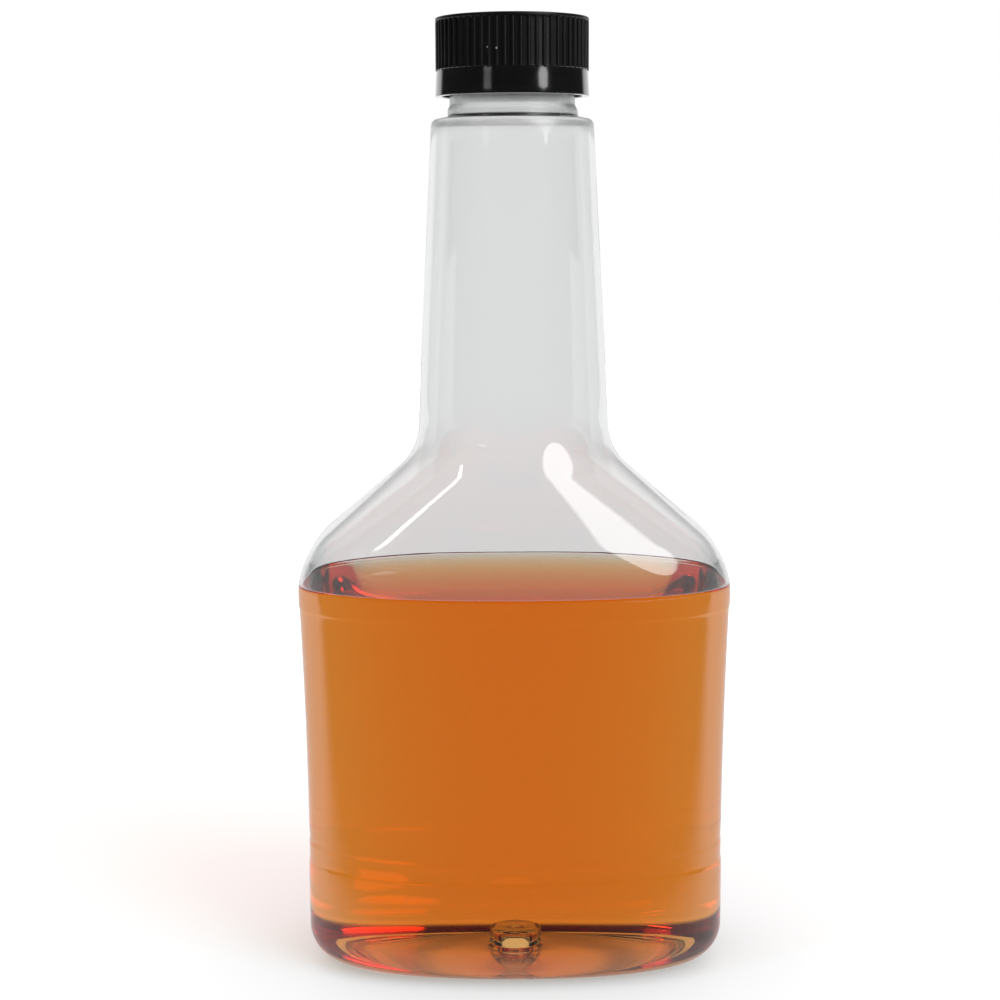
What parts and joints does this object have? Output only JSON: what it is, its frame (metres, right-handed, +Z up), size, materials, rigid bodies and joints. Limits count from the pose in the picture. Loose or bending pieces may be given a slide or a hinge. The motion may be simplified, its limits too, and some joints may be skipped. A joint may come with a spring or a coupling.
{
  "type": "cone top bottle",
  "caption": "Clear oblong bottle with rounded corners, sloping shoulders and a tall round cone neck, closed by a ribbed screw cap and part filled with orange liquid.",
  "frame": {"origin": "middle of the base, at the level of the standing ring", "axes": "+Z up along the neck, +X to the right across the wide front, +Y from the front to the back"},
  "size_m": [0.0876, 0.0558, 0.191],
  "materials": {
    "clear_wall": "clear glossy blown plastic",
    "black_cap": "satin moulded plastic",
    "liner": "soft foam disc",
    "orange_liquid": "clear liquid"
  },
  "bodies": {
    "bottle": {"bottle": "clear_wall", "liquid": "orange_liquid"},
    "liner": {"cap_liner": "liner"},
    "cap": {"cap": "black_cap"}
  },
  "joints": [
    {"name": "cap_lift", "type": "slide", "parent": "bottle", "child": "liner", "axis": [0, 0, 1], "range_m": [0, 0.0212]},
    {"name": "cap_turn", "type": "hinge", "parent": "liner", "child": "cap", "pos_m": [0, 0, 0.1834], "axis": [0, 0, 1], "range_deg": [0, 1800]}
  ],
  "couplings": [
    {"joint": "cap_lift", "follows": "cap_turn", "m_per_rad": 0.00067372}
  ]
}
